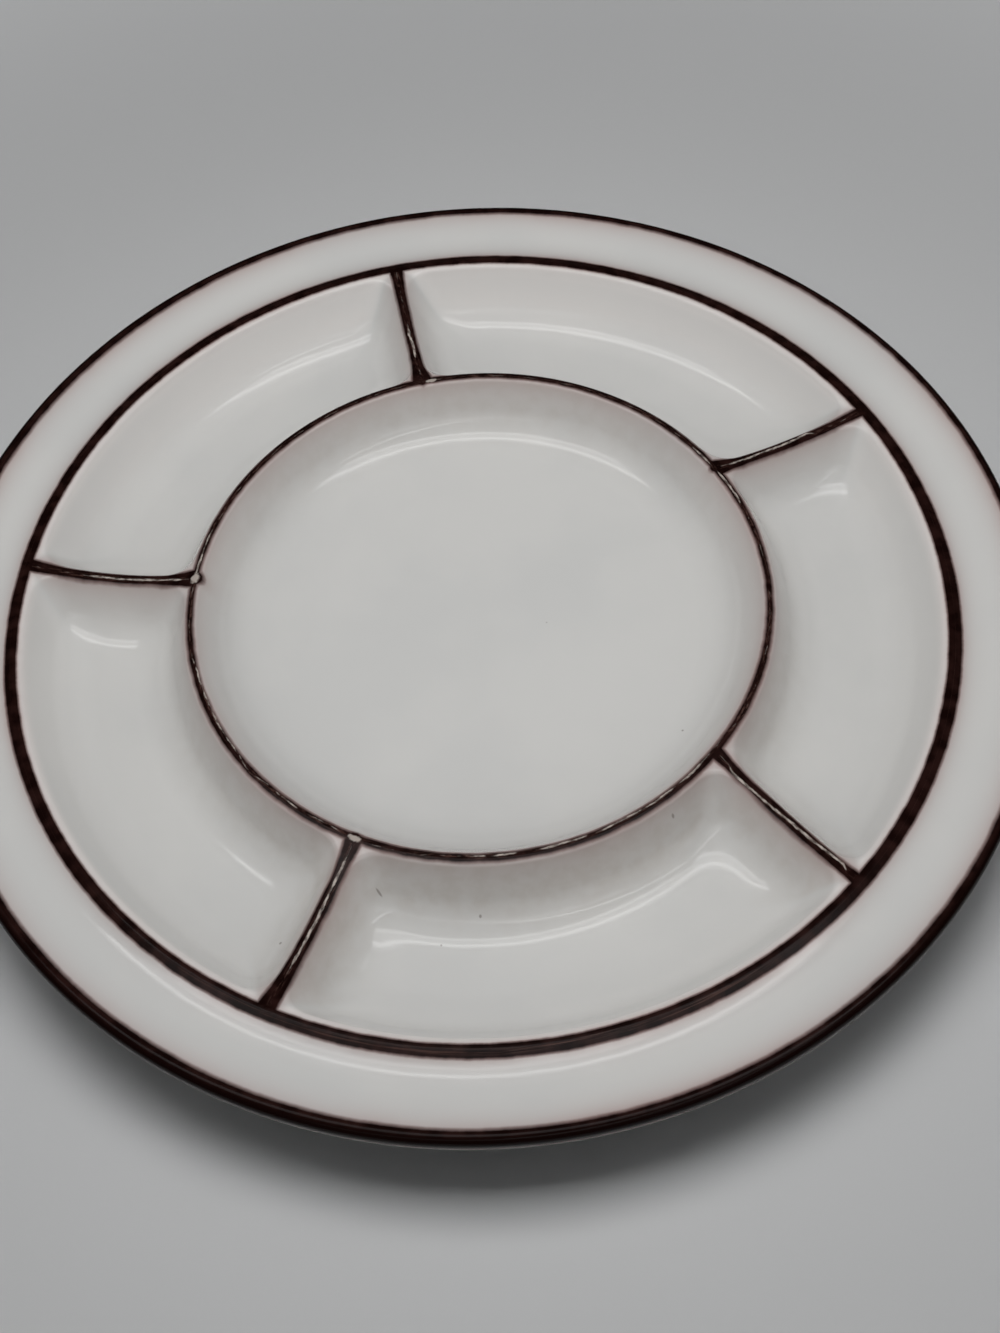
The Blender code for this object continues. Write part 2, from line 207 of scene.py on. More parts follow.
def rim_path():
    """The glazed section from the well crest over the flange, lip and outer wall to the foot's bare edge.

    The underside of the flange runs parallel to its top, and the outer wall parallel to the well's flank.
    Also gives the lengths along it where the lip's band starts and ends."""
    lip_height = crest_height + lip_rise
    lip_under = (plate_radius, lip_height - lip_thickness)
    flange_way = (flange_width - shoulder_width, lip_rise + shoulder_drop)
    flank_way = (cos(flank), sin(flank))
    wall_top = (
        well_crest - crest_land - (crest_round - wall_thickness) * sin(flank),
        crest_height - crest_round + (crest_round - wall_thickness) * cos(flank),
    )
    wall_foot = crossing(wall_top, flank_way, (0.0, foot_height), (1.0, 0.0))
    corners = [
        (well_crest, crest_height, 0.0),
        (well_crest + crest_land, crest_height, shoulder_round),
        (well_crest + shoulder_width, crest_height - shoulder_drop, flange_round),
        (plate_radius, lip_height, lip_top_round),
        (*lip_under, lip_under_round),
        (*crossing(lip_under, flange_way, wall_top, flank_way), flange_fillet),
        (*wall_foot, cove_round + wall_thickness),
        (foot_outer + clay_under_glaze, foot_height, foot_fillet),
        (foot_outer + clay_under_glaze, bare_foot_height, 0.0),
    ]
    path, arcs = rounded_path(corners)
    lengths = lengths_along(path)
    top_round_start, top_round_end = arcs[2]
    return path, lengths[top_round_start], lengths[top_round_end] + lip_band_side


def turned_grid(path, turns):
    """Points from turning a section path round the plate's axis."""
    radii = path[:, :1]
    heights = np.broadcast_to(path[:, 1:], (len(path), len(turns)))
    return np.stack([-radii * np.sin(turns), radii * np.cos(turns), heights], axis=-1)


def wave(x, y, along_x, along_y, start):
    """A sine wave over the plan, by its radians per metre along X and along Y."""
    return np.sin(along_x * x + along_y * y + start)


def out_of_true(grid):
    """The grid with the slight warp of a fired plate: slow sine waves, and a ripple of two waves multiplied.

    Both move points in height alone, and fade out towards the foot."""
    x, y, z = np.moveaxis(grid, -1, 0)
    slow = sum(height * wave(x, y, *way) for height, *way in slow_waves)
    first, second = ripple_waves
    ripple = ripple_height * wave(x, y, *first) * wave(x, y, *second)
    share = np.clip((z - foot_height) / (crest_height - foot_height), 0, 1)
    return np.stack([x, y, z + share * (slow + ripple)], axis=-1)


def grid_normals(grid, ring):
    """Outward normals, square to the steps along rows and columns.

    A ring's columns wrap, and a pole's normal is upright, to the side of the next row's."""
    least = 1e-12
    along = np.gradient(grid, axis=0)
    if ring:
        across = np.roll(grid, -1, axis=1) - np.roll(grid, 1, axis=1)
    else:
        across = np.gradient(grid, axis=1)
    normal = np.cross(along, across)
    length = np.linalg.norm(normal, axis=-1, keepdims=True)
    normal = normal / np.maximum(length, least)
    for pole, beside in ((0, 1), (-1, -2)):
        if length[pole].max() < least:
            normal[pole] = np.sign(normal[beside].mean(axis=0)) * (0, 0, 1)
    return normal


def inset(grid, depth, ring):
    """The grid moved into the plate along its normals."""
    return grid - depth * grid_normals(grid, ring)


def skin_faces(index):
    """Two triangles for each cell of a grid of vertex numbers, facing out."""
    a, b, c, d = index[:-1, :-1], index[:-1, 1:], index[1:, 1:], index[1:, :-1]
    return np.concatenate([np.stack([a, d, c], -1).reshape(-1, 3), np.stack([a, c, b], -1).reshape(-1, 3)])


def plate_piece(name, node, points, faces, finish, marks=None):
    """One piece of the plate: welds equal points, drops the empty triangles at poles, and stores its marks.

    Marks are values or vectors for each point, which the finish reads as attributes."""
    weld = 1e-7
    sharp_edge = radians(50.0)
    places = np.round(points / weld).astype(np.int64)
    _, first, merged = np.unique(places, axis=0, return_index=True, return_inverse=True)
    faces = merged.reshape(-1)[faces]
    a, b, c = faces.T
    faces = faces[(a != b) & (b != c) & (c != a)]
    mesh = bpy.data.meshes.new(name)
    mesh.from_pydata(points[first], [], faces)
    for label, values in (marks or {}).items():
        values = values[first]
        kind, field = ("FLOAT_VECTOR", "vector") if values.ndim > 1 else ("FLOAT", "value")
        mesh.attributes.new(label, kind, "POINT").data.foreach_set(field, values.astype(np.float32).ravel())
    mesh.shade_smooth()
    mesh.set_sharp_from_angle(angle=sharp_edge)
    mesh.materials.append(finish)
    piece = bpy.data.objects.new(name, mesh)
    bpy.context.scene.collection.objects.link(piece)
    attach(piece, "root")
    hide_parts(node)


def shader_node(tree, kind, feeds=None, **settings):
    """Adds a shader node with its settings, and feeds its inputs values or other nodes' outputs."""
    made = tree.nodes.new(kind)
    for label, value in settings.items():
        setattr(made, label, value)
    for label, value in (feeds or {}).items():
        if isinstance(value, bpy.types.NodeSocket):
            tree.links.new(value, made.inputs[label])
        else:
            made.inputs[label].default_value = value
    return made


def noise(tree, vector, scale, detail=2.0, rough=0.5):
    """Smooth random values around one half, varying over about 1 / scale."""
    feeds = {"Vector": vector, "Scale": scale, "Detail": detail, "Roughness": rough}
    return shader_node(tree, "ShaderNodeTexNoise", feeds).outputs["Fac"]


def ramp(tree, value, low, high, at_low=0.0, at_high=1.0):
    """A smooth step, from at_low where the value is low to at_high where it is high."""
    feeds = {"Value": value, "From Min": low, "From Max": high, "To Min": at_low, "To Max": at_high}
    return shader_node(tree, "ShaderNodeMapRange", feeds, interpolation_type="SMOOTHSTEP").outputs[0]


def mixed(tree, share, first, second):
    """A colour between two colours."""
    made = shader_node(tree, "ShaderNodeMix", {0: share}, data_type="RGBA")
    for socket, colour in ((made.inputs[6], first), (made.inputs[7], second)):
        if isinstance(colour, bpy.types.NodeSocket):
            tree.links.new(colour, socket)
        else:
            socket.default_value = (*colour, 1.0)
    return made.outputs[2]


def new_finish(name):
    """A new material with its node tree and its shader."""
    finish = bpy.data.materials.new(name)
    finish.use_nodes = True
    return finish, finish.node_tree, finish.node_tree.nodes["Principled BSDF"]


def own_place(tree):
    """Places in the piece's own frame."""
    return shader_node(tree, "ShaderNodeTexCoord").outputs["Object"]


def uneven(tree, shader, height, strength, distance):
    """Gives the shader a bumpy surface, by a height that is scaled to a distance in metres."""
    feeds = {"Height": height, "Strength": strength, "Distance": distance}
    tree.links.new(shader_node(tree, "ShaderNodeBump", feeds).outputs[0], shader.inputs["Normal"])


def clay_finish():
    """Bare fired clay: warm grey-buff with darker grog, sandy, and smudged where it has slid on tables."""
    finish, tree, shader = new_finish("bare_stoneware")
    place = own_place(tree)
    grog = noise(tree, place, 1900.0, detail=3.0, rough=0.7)
    smudge = noise(tree, place, 90.0, detail=3.0)
    buff = mixed(tree, ramp(tree, smudge, 0.35, 0.68), buff_clay, smudged_clay)
    speckled = mixed(tree, ramp(tree, grog, 0.60, 0.70, 0.0, 0.75), buff, grog_colour)
    tree.links.new(speckled, shader.inputs["Base Color"])
    tree.links.new(ramp(tree, grog, 0.3, 0.7, 0.68, 0.88), shader.inputs["Roughness"])
    uneven(tree, shader, grog, 0.35, 0.0003)
    return finish


def round_turns(count):
    """Evenly spaced turns right round the plate."""
    return np.linspace(0, 2 * pi, count, endpoint=False)


rim, lip_start, lip_end = rim_path()
foot_well_corners = [
    (foot_inner - clay_under_glaze, bare_foot_height, 0.0),
    (foot_inner - clay_under_glaze, foot_height, foot_fillet),
    (0.0, foot_height, 0.0),
]
foot_well = rounded_path(foot_well_corners)[0]
bare_foot_corners = [
    (foot_outer, bare_foot_height, 0.0),
    (foot_outer, 0.0, foot_edge_round),
    (foot_inner, 0.0, foot_edge_round),
    (foot_inner, bare_foot_height, 0.0),
]
bare_foot = rounded_path(bare_foot_corners)[0]

body_turns = round_turns(240)
centre_radii = np.linspace(0, ring_crest, 48)
compartment_radii = np.linspace(ring_crest, well_crest, 42)[1:-1]
body_radii = np.concatenate([centre_radii, compartment_radii])[:, None]
body_rows = [
    inset(face_grid(body_radii, body_turns), clay_under_glaze, True),
    inset(turned_grid(whole(rim, 70), body_turns), clay_under_glaze, True)[:-1],
    turned_grid(whole(bare_foot, 22), body_turns),
    inset(turned_grid(whole(foot_well, 24), body_turns), clay_under_glaze, True)[1:],
]
body_grid = out_of_true(np.vstack(body_rows))
body_index = np.arange(body_grid[..., 0].size).reshape(body_grid.shape[:2])
body_faces = skin_faces(np.hstack([body_index, body_index[:, :1]]))
plate_piece("clay_body", "stoneware_body", body_grid.reshape(-1, 3), body_faces, clay_finish())


# The centre field: the white gloss glaze in the centre well, poured over brown slip and fused to the clay.
# It runs off every crest in the kiln, so the slip under it shows through there as a pink halo. All the white
# fields share its finish, and how they are marked by the bands around them.
well_band_inside = 0.0003
divider_band_half = 0.00145
inner_flare = 0.0013
outer_flare = 0.0004
flare_length = 0.0120
# How much wider each side of a divider's inner and outer end is brushed
fuller_ends = ((0.0002, 0.0), (0.0, 0.0), (-0.0005, 0.0004), (-0.0008, -0.0003), (0.0, -0.0003))
fuller_length = 0.0140
end_slope = 3.0  # how fast a divider's band ends beyond the crests that it joins
ring_line_half = 0.00085
ring_away_shade_back = 0.0006  # how much further the ring's brown reaches outwards at the back, down the slope that faces away from the camera: painted shade
ring_away_shade_front = 0.0004  # and inwards in front, down the slope that faces away there: painted shade too
well_line_shift = 0.0002  # how far off the crest's middle the well band was brushed
well_line_turn = radians(290.0)
back_turn = radians(-8.0)
joint_nubs = (0.0012, 0.0020, 0.0017, 0.0012, 0.0013)  # radius of the brown round each divider's inner end

millimetre = 0.001
middle_halo = 1.9  # millimetres, as the other halos
shoulder_halo = 1.3
narrow_halo = 0.7
halo_blend = 0.5  # millimetres over which one halo gives way to the next
pool_and_highlight_middle = 0.0009  # how far inside the well band the glaze is thickest, where a painted highlight runs along it
pool_and_highlight_width = 0.0009
centre_thin_and_shade = (0.35, 0.65)  # how thin the glaze is on the centre's flank, partly painted shade, and the painted shade added at the back
outer_thin_and_shade = (0.4, 1.1)  # the same on the compartments' flanks, and the painted shade added in front
flank_pool_and_light = (0.2, 0.7)  # how thick it is inside the well band, and the painted light added at the back

cool_white = (0.583, 0.582, 0.570)
warm_white = (0.612, 0.608, 0.592)
# Thin glaze's colour, which on the flanks also stands for painted shade
thin_glaze_and_shade = (0.32, 0.25, 0.19)
# Thick glaze's colour, which also stands for painted light and a painted highlight
thick_glaze_and_light = (0.72, 0.70, 0.68)
pink_glaze = (0.32, 0.185, 0.168)
dark_slip = (0.0060, 0.0019, 0.0015)
pale_slip = (0.0185, 0.0070, 0.0058)
red_slip = (0.15, 0.060, 0.053)
speck_colour = (0.12, 0.09, 0.075)
halo_strength = (0.38, 0.64)  # least and most
thin_and_shade_strength = (0.11, 0.21)
red_fringe = 1.2
usual_noise = (0.3, 0.7)  # where most of its values lie
wander_reach = 0.45  # millimetres from side to side
grain_reach = 0.10
glaze_gloss = (0.07, 0.12)  # least and most roughness
glaze_bump = (0.22, 0.0004)  # strength, and metres
speck_cells = 130.0
speck_rarity = 0.965  # share of the cells without one
speck_strength = 0.55
kiln_marks = (  # each one's place, half length and half width in millimetres, and turn in degrees
    (-36.0, -64.3, 1.0, 0.28, -57.0),
    (-25.4, -76.7, 0.35, 0.35, 0.0),
    (-16.0, -73.3, 0.40, 0.40, 0.0),
    (-58.6, -69.3, 0.45, 0.40, 0.0),
    (28.7, -63.9, 0.40, 0.40, 0.0),
)


def divider_band_edge(radius):
    """Half the width of a divider's band: wider as a parabola over flare_length towards each crest."""
    inner = inner_flare * np.maximum(1 - (radius - ring_crest) / flare_length, 0) ** 2
    outer = outer_flare * np.maximum(1 - (well_crest - radius) / flare_length, 0) ** 2
    return divider_band_half + inner + outer


def from_joint(grid, copy):
    """Plan distances from a divider's joint with the ring crest, along the ring and across it."""
    turn = divider_turn(copy, ring_crest)
    x, y, _ = np.moveaxis(grid, -1, 0)
    return x * np.cos(turn) + y * np.sin(turn), y * np.cos(turn) - x * np.sin(turn) - ring_crest


def steepness(x, y):
    """How steep the face is, from 0 on its floors to 1 on its flanks, by its slopes over a small step."""
    step = 0.0001
    along_x = face_height(x + step, y) - face_height(x - step, y)
    along_y = face_height(x, y + step) - face_height(x, y - step)
    return np.clip(np.hypot(along_x, along_y) / (2 * step * tan(flank)), 0, 1)


def face_marks(grid):
    """The distance in millimetres to the nearest band's edge, below 0 inside it, and the halo's width there.

    The halo is narrower along the well band, and the ring's band reaches further down its slopes that face
    away from the camera, as painted shade. The thinness mark is above 0 on the flanks of the ring and the
    dividers, where the glaze ran off, with painted shade added on the centre's flanks at the back and on the
    compartments' flanks in front. It is below 0 inside the well band, where the glaze pooled, with a painted
    highlight along the pool and painted light added on the flanks at the back."""
    x, y, _ = np.moveaxis(grid, -1, 0)
    radius = np.hypot(x, y)
    turn = np.arctan2(-x, y)
    within = np.clip(radius, ring_crest, well_crest)
    backwards = np.cos(turn - back_turn)
    at_back = np.maximum(backwards, 0)
    in_front = np.maximum(-backwards, 0)
    # The ring's brown is painted further down its slopes that face away from the camera: painted shade.
    away_shade = np.where(radius > ring_crest, ring_away_shade_back * at_back, ring_away_shade_front * in_front)
    inner = np.abs(radius - ring_crest) - ring_line_half - away_shade
    to_ends = np.stack([within - ring_crest, well_crest - within])
    fuller = np.tensordot(fuller_ends, np.clip(1 - to_ends / fuller_length, 0, 1), axes=1)
    lines = np.min(beside_dividers(x, y) - fuller, axis=0) - divider_band_edge(within)
    inner = np.minimum(inner, lines + end_slope * np.abs(radius - within))
    for copy, nub in enumerate(joint_nubs):
        inner = np.minimum(inner, np.hypot(*from_joint(grid, copy)) - nub)
    inside = radius < well_crest
    shift = well_line_shift * np.cos(turn - well_line_turn)
    outside_edge = radius - well_crest - well_band_outside - shift
    well = np.where(inside, well_crest - radius - well_band_inside, outside_edge)
    by_well = 1 / (1 + np.exp((well - inner) / millimetre / halo_blend))
    halo = middle_halo + (np.where(inside, narrow_halo, shoulder_halo) - middle_halo) * by_well
    # Thick glaze in a line just inside the well band, which is also a painted highlight there.
    pool_and_highlight = np.exp(-(((well - pool_and_highlight_middle) / pool_and_highlight_width) ** 2))
    # Thin glaze on the flanks, partly painted shade, with more painted shade on the centre's flanks at the
    # back and on the compartments' flanks in front.
    centre_thin_shade = centre_thin_and_shade[0] + centre_thin_and_shade[1] * at_back
    outer_thin_shade = outer_thin_and_shade[0] + outer_thin_and_shade[1] * in_front
    thin_and_shade_share = np.where(radius < ring_crest, centre_thin_shade, outer_thin_shade)
    # Thick glaze on the flanks next to the well band, with painted light added on those at the back.
    pooled_and_light = flank_pool_and_light[0] + flank_pool_and_light[1] * at_back
    thin = steepness(x, y) * (thin_and_shade_share * (1 - by_well) - pooled_and_light * by_well) - pool_and_highlight * by_well
    return {"edge": np.minimum(inner, well) / millimetre, "halo": halo, "thin": np.where(inside, thin, 0)}


def coat(name, node, slot, grid, ring, marks, finish):
    """A coat of glaze as a closed shell: the grid, the same grid under it, and walls round its border."""
    grid = out_of_true(grid)
    rows, columns = grid.shape[:2]
    points = np.concatenate([grid.reshape(-1, 3), inset(grid, glaze_thickness, ring).reshape(-1, 3)])
    outer = np.arange(rows * columns).reshape(rows, columns)
    if ring:
        outer = np.hstack([outer, outer[:, :1]])
    inner = outer + rows * columns
    walls = [np.stack([inner[0], outer[0]]), np.stack([outer[-1], inner[-1]])]
    if not ring:
        walls += [np.stack([inner[::-1, 0], outer[::-1, 0]]), np.stack([outer[::-1, -1], inner[::-1, -1]])]
    faces = np.concatenate([skin_faces(index) for index in (outer, inner[:, ::-1], *walls)])
    both = {}
    for label, values in marks.items():
        values = values.reshape(rows * columns, *values.shape[2:])
        both[label] = np.concatenate([values, values])
    plate_piece(name, node, points, faces, finish, both)


def maths(tree, operation, first, second=0.0, clamp=False):
    """One arithmetic step between two values."""
    made = shader_node(tree, "ShaderNodeMath", {0: first, 1: second}, operation=operation, use_clamp=clamp)
    return made.outputs[0]


def group_with(name, inputs, outputs):
    """A new shader node group with named sockets, and its two end nodes."""
    tree = bpy.data.node_groups.new(name, "ShaderNodeTree")
    for way, sockets in (("INPUT", inputs), ("OUTPUT", outputs)):
        for label, kind in sockets:
            tree.interface.new_socket(label, in_out=way, socket_type=kind)
    return tree, tree.nodes.new("NodeGroupInput"), tree.nodes.new("NodeGroupOutput")


def glaze_colour_group():
    """White glaze over brown slip: brown where Edge is below 0, then a halo that fades out over Halo.

    Both are in millimetres. The edge wanders with fine noise, is softer where the halo is wider, and is red
    where the slip thins out. Where the thinness mark is above 0 the glaze is thin, warm and grey, which on
    the flanks also stands for painted shade. Where it is below 0 the glaze is thick and whiter, which also
    stands for painted light and a painted highlight, and its slip darker, which down the lip's edge is
    painted shade."""
    sockets = [(label, "NodeSocketFloat") for label in ("Edge", "Halo", "Thin")]
    tree, given, result = group_with("glaze_over_slip", sockets, [("Colour", "NodeSocketColor")])
    place = own_place(tree)
    cloud = noise(tree, place, 26.0, detail=3.0)
    run = noise(tree, place, 260.0)
    grain = noise(tree, place, 1400.0)
    runs = maths(tree, "MULTIPLY", run, wander_reach)
    wander = maths(tree, "ADD", runs, maths(tree, "MULTIPLY", grain, grain_reach))
    wander = maths(tree, "SUBTRACT", wander, (wander_reach + grain_reach) / 2)
    edge = maths(tree, "ADD", given.outputs["Edge"], wander)
    soft = maths(tree, "ADD", 0.25, maths(tree, "MULTIPLY", given.outputs["Halo"], 0.16))
    brown = ramp(tree, maths(tree, "DIVIDE", edge, soft), 1.0, -0.86)
    share = maths(tree, "MAXIMUM", maths(tree, "DIVIDE", edge, given.outputs["Halo"]), 0.0)
    halo = maths(tree, "EXPONENT", maths(tree, "MULTIPLY", share, -1.0))
    halo = maths(tree, "MULTIPLY", halo, ramp(tree, cloud, *usual_noise, *halo_strength))
    white = mixed(tree, ramp(tree, cloud, 0.35, 0.65), cool_white, warm_white)
    streak = ramp(tree, run, *usual_noise, *thin_and_shade_strength)
    # Thin glaze, warm and grey: partly painted shade.
    thin = maths(tree, "MULTIPLY", maths(tree, "MAXIMUM", given.outputs["Thin"], 0.0), streak)
    # Thick glaze, whiter: partly painted light and a painted highlight.
    thick_and_painted_light = maths(tree, "MULTIPLY", given.outputs["Thin"], -1.0, clamp=True)
    white = mixed(tree, thin, white, thin_glaze_and_shade)
    white = mixed(tree, thick_and_painted_light, white, thick_glaze_and_light)
    pink = mixed(tree, halo, white, pink_glaze)
    # The paler slip is held back where the glaze is marked thick, which darkens the lip's edge as painted
    # shade.
    paler = maths(tree, "MULTIPLY", ramp(tree, run, 0.35, 0.7), maths(tree, "SUBTRACT", 1.0, thick_and_painted_light))
    colour = mixed(tree, brown, pink, mixed(tree, paler, dark_slip, pale_slip))
    fringe = maths(tree, "MULTIPLY", brown, maths(tree, "SUBTRACT", 1.0, brown))
    colour = mixed(tree, maths(tree, "MULTIPLY", fringe, red_fringe), colour, red_slip)
    tree.links.new(colour, result.inputs["Colour"])
    return tree


def glaze_skin_group():
    """The glaze's surface: slow waves and a fine orange peel as Height, and Gloss that follows the waves."""
    outputs = [("Height", "NodeSocketFloat"), ("Gloss", "NodeSocketFloat")]
    tree, _, result = group_with("glaze_skin", [], outputs)
    place = own_place(tree)
    waves = noise(tree, place, 95.0)
    peel = noise(tree, place, 620.0)
    height = maths(tree, "ADD", waves, maths(tree, "MULTIPLY", peel, 0.10))
    tree.links.new(height, result.inputs["Height"])
    tree.links.new(ramp(tree, waves, *usual_noise, *glaze_gloss), result.inputs["Gloss"])
    return tree


glaze_colours = glaze_colour_group()
glaze_skin = glaze_skin_group()


def attribute(tree, label, field="Fac"):
    """A mark stored on the piece."""
    return shader_node(tree, "ShaderNodeAttribute", attribute_name=label).outputs[field]


def place_group(tree, group, feeds=None):
    """A node that uses a group."""
    made = tree.nodes.new("ShaderNodeGroup")
    made.node_tree = group
    for label, value in (feeds or {}).items():
        tree.links.new(value, made.inputs[label])
    return made


def glaze_over_slip(tree):
    """The glaze's colour, from the marks stored on the piece."""
    marks = {label.capitalize(): attribute(tree, label) for label in ("edge", "halo", "thin")}
    return place_group(tree, glaze_colours, marks)


def kiln_specks(tree, place):
    """How dark the glaze is from kiln dirt: each speck an ellipsoid on the face that fades to its edge."""
    dark = 0.0
    for x, y, long, wide, turn in kiln_marks:
        at = (x * millimetre, y * millimetre, crest_height - compartment_depth / 2)
        sizes = (long * millimetre, wide * millimetre, compartment_depth)
        feeds = {"Vector": place, "Location": at, "Rotation": (0, 0, radians(turn)), "Scale": sizes}
        inside = shader_node(tree, "ShaderNodeMapping", feeds, vector_type="TEXTURE").outputs[0]
        reach = shader_node(tree, "ShaderNodeVectorMath", {0: inside}, operation="LENGTH").outputs["Value"]
        dark = maths(tree, "MAXIMUM", dark, ramp(tree, reach, 1.1, 0.5))
    return dark


def iron_specks(tree, place):
    """How dark the glaze is from iron specks: a dot in a few cells of a random pattern, chosen by lot."""
    cells = shader_node(tree, "ShaderNodeTexVoronoi", {"Vector": place, "Scale": speck_cells})
    lot = shader_node(tree, "ShaderNodeSeparateColor", {0: cells.outputs["Color"]}).outputs[0]
    chosen = maths(tree, "GREATER_THAN", lot, speck_rarity)
    return maths(tree, "MULTIPLY", ramp(tree, cells.outputs["Distance"], 0.045, 0.02), chosen)


def white_finish():
    """Gloss white glaze, with the slip's halo along its edges and a few dark specks."""
    finish, tree, shader = new_finish("white_glaze")
    over = glaze_over_slip(tree)
    skin = place_group(tree, glaze_skin)
    place = own_place(tree)
    speck = maths(tree, "MAXIMUM", iron_specks(tree, place), kiln_specks(tree, place))
    speck = maths(tree, "MULTIPLY", speck, speck_strength)
    colour = mixed(tree, speck, over.outputs["Colour"], speck_colour)
    tree.links.new(colour, shader.inputs["Base Color"])
    tree.links.new(skin.outputs["Gloss"], shader.inputs["Roughness"])
    uneven(tree, shader, skin.outputs["Height"], *glaze_bump)
    return finish


white_glaze = white_finish()
wall_crowding = 1.6  # draws the grid's rows together towards the wall
centre_rows = 1 - (1 - np.linspace(0, 1, 76)) ** wall_crowding
centre_edge = ring_crest - ring_band_half
centre_grid = face_grid((centre_edge * centre_rows)[:, None], round_turns(480))
centre_marks = face_marks(centre_grid)
coat("centre_field", "centre_well_glaze", "white_glaze", centre_grid, True, centre_marks, white_glaze)


# The compartment fields: the same white glaze in the five sauce compartments, each between the ring's band,
# the well band and two divider bands. It thins on the flanks and pools just inside the well band, and these
# marks also carry painted shade on the flanks in front, painted light on the flanks at the back and a
# painted highlight along the pool.
field_inner = ring_crest + ring_band_half
field_outer = well_crest - well_band_inside


def eased(count, strength=0.75):
    """Shares from 0 to 1, closer together at both ends: a cosine step mixed with an even one."""
    even = np.linspace(0, 1, count)
    return strength * (1 - np.cos(pi * even)) / 2 + (1 - strength) * even


field_radii = (field_inner + (field_outer - field_inner) * eased(96))[:, None]
band_turn = np.arcsin(divider_band_edge(field_radii) / field_radii)
for copy in range(compartment_count):
    first_turn = divider_turn(copy, field_radii) + band_turn
    last_turn = divider_turn(copy + 1, field_radii) - band_turn
    field_grid = face_grid(field_radii, first_turn + (last_turn - first_turn) * eased(150))
    names = (f"compartment_field_{copy + 1}", f"compartment_glaze_{copy + 1}")
    coat(*names, "white_glaze", field_grid, False, face_marks(field_grid), white_glaze)


# The flange field: the white glaze between the well band and the lip's band, on the turned flange. The lip
# was brushed by hand, so its slip reaches further in on one side. Its halo is the widest of the plate.
wide_halo = 2.5  # millimetres, along the lip
lip_overlap = 0.57  # millimetres of the field's edge under the lip's slip, on average
lip_overlap_swing = 0.41
lip_overlap_turn = radians(62.0)


def turned_marks(path, before, after, halos):
    """Marks on a turned section: the length along it to the nearer band, and a halo from first to last."""
    lengths = lengths_along(path)[:, None] / millimetre
    edge = np.minimum(lengths + before, lengths[-1] - lengths + after)
    edge = np.broadcast_to(edge, (len(path), len(rim_columns)))
    halo = np.broadcast_to(np.linspace(*halos, len(path))[:, None], edge.shape)
    return {"edge": edge, "halo": halo, "thin": np.zeros(edge.shape)}


rim_columns = round_turns(480)
lip_spread = lip_overlap + lip_overlap_swing * np.cos(rim_columns - lip_overlap_turn)
well_shift = well_line_shift / millimetre * np.cos(rim_columns - well_line_turn)
rim_lengths = lengths_along(rim)
on_top = rim_lengths <= lip_start
shoulder_end = np.interp(well_crest + well_band_outside, rim[on_top, 0], rim_lengths[on_top])
flange_path = stretch(rim, shoulder_end, lip_start, 34)
flange_grid = turned_grid(flange_path, rim_columns)
flange_marks = turned_marks(flange_path, -well_shift, -lip_spread, (shoulder_halo, wide_halo))
coat("flange_field", "flange_glaze", "white_glaze", flange_grid, True, flange_marks, white_glaze)


# The fields underneath: white glaze from the lip's band down the outer wall to the foot ring, and inside the
# foot ring. Both end just above its resting face, which is wiped clean before firing. The outer one's top
# edge is painted in the lip's brown, as painted shade under the lip.
no_band = 60.0  # millimetres to a band that isn't there
underside_painted_shade = 0.35  # millimetres of its top edge painted in the lip's brown: painted shade under the lip
underside_path = stretch(rim, lip_end, rim_lengths[-1], 90)
underside_grid = turned_grid(underside_path, rim_columns)
underside_marks = turned_marks(underside_path, -underside_painted_shade, no_band, (narrow_halo, narrow_halo))
coat("underside_field", "underside_glaze", "white_glaze", underside_grid, True, underside_marks, white_glaze)
foot_well_path = whole(foot_well, 70)
foot_well_grid = turned_grid(foot_well_path, rim_columns)
foot_well_marks = turned_marks(foot_well_path, no_band, no_band, (narrow_halo, narrow_halo))
coat("foot_well_field", "foot_well_glaze", "white_glaze", foot_well_grid, True, foot_well_marks, white_glaze)


# The ring line: brown slip bared on the crest round the centre well, where the white glaze ran off it, and
# fired to the same gloss. Cream slivers along it, and pale spots where dividers join it, are partly wear
# from stacking and cutlery and partly a painted highlight. All the brown lines share its finish.
rubbed_and_sheen_slip = (0.085, 0.045, 0.037)
cream_wear_and_highlight = (0.50, 0.44, 0.395)
rub_and_sheen_strength = 0.75
slow_sway = 0.20  # millimetres to each side that a sliver wavers
quick_sway = 0.07
most_lost = 0.16  # millimetres that gaps take off half its width
scattered_wear_and_highlight = 0.07  # width of the sliver, in millimetres, all along a crest
joint_spots = (  # each joint's pale spot, partly worn bare and partly a painted highlight: its size along and across the ring, and how far along it lies
    (0.0018, 0.0007, 0.0023),
    (0.0019, 0.0014, 0.0),
    (0.0021, 0.0009, 0.0),
)
ring_slivers = (  # degrees from +Y to its start and end, then millimetres: its width, and its places across
    (62.0, 70.5, 0.32, 0.1, 0.1),
    (94.0, 116.0, 0.19, -0.6, -0.6),
    (124.0, 140.0, 0.12, -0.45, -0.45),
    (160.0, 222.0, 0.0, -0.62, -0.62),
    (166.0, 173.0, 0.22, 0.1, 0.1),
    (181.0, 186.0, 0.32, 0.0, 0.0),
    (192.0, 206.0, 0.24, 0.0, 0.0),
    (209.0, 215.0, 0.30, 0.0, 0.0),
    (281.0, 286.5, 0.42, 0.1, 0.1),
    (291.0, 294.0, 0.30, -0.1, -0.1),
)
ring_fade = 3.0  # degrees


def noise_along(tree, run, along, across=0.0, detail=2.0, rough=0.5):
    """Noise drawn out along a crest, which varies over about 1 / along and 1 / across millimetres."""
    place = shader_node(tree, "ShaderNodeMapping", {"Vector": run, "Scale": (along, across, 1.0)})
    return noise(tree, place.outputs[0], 1.0, detail, rough)


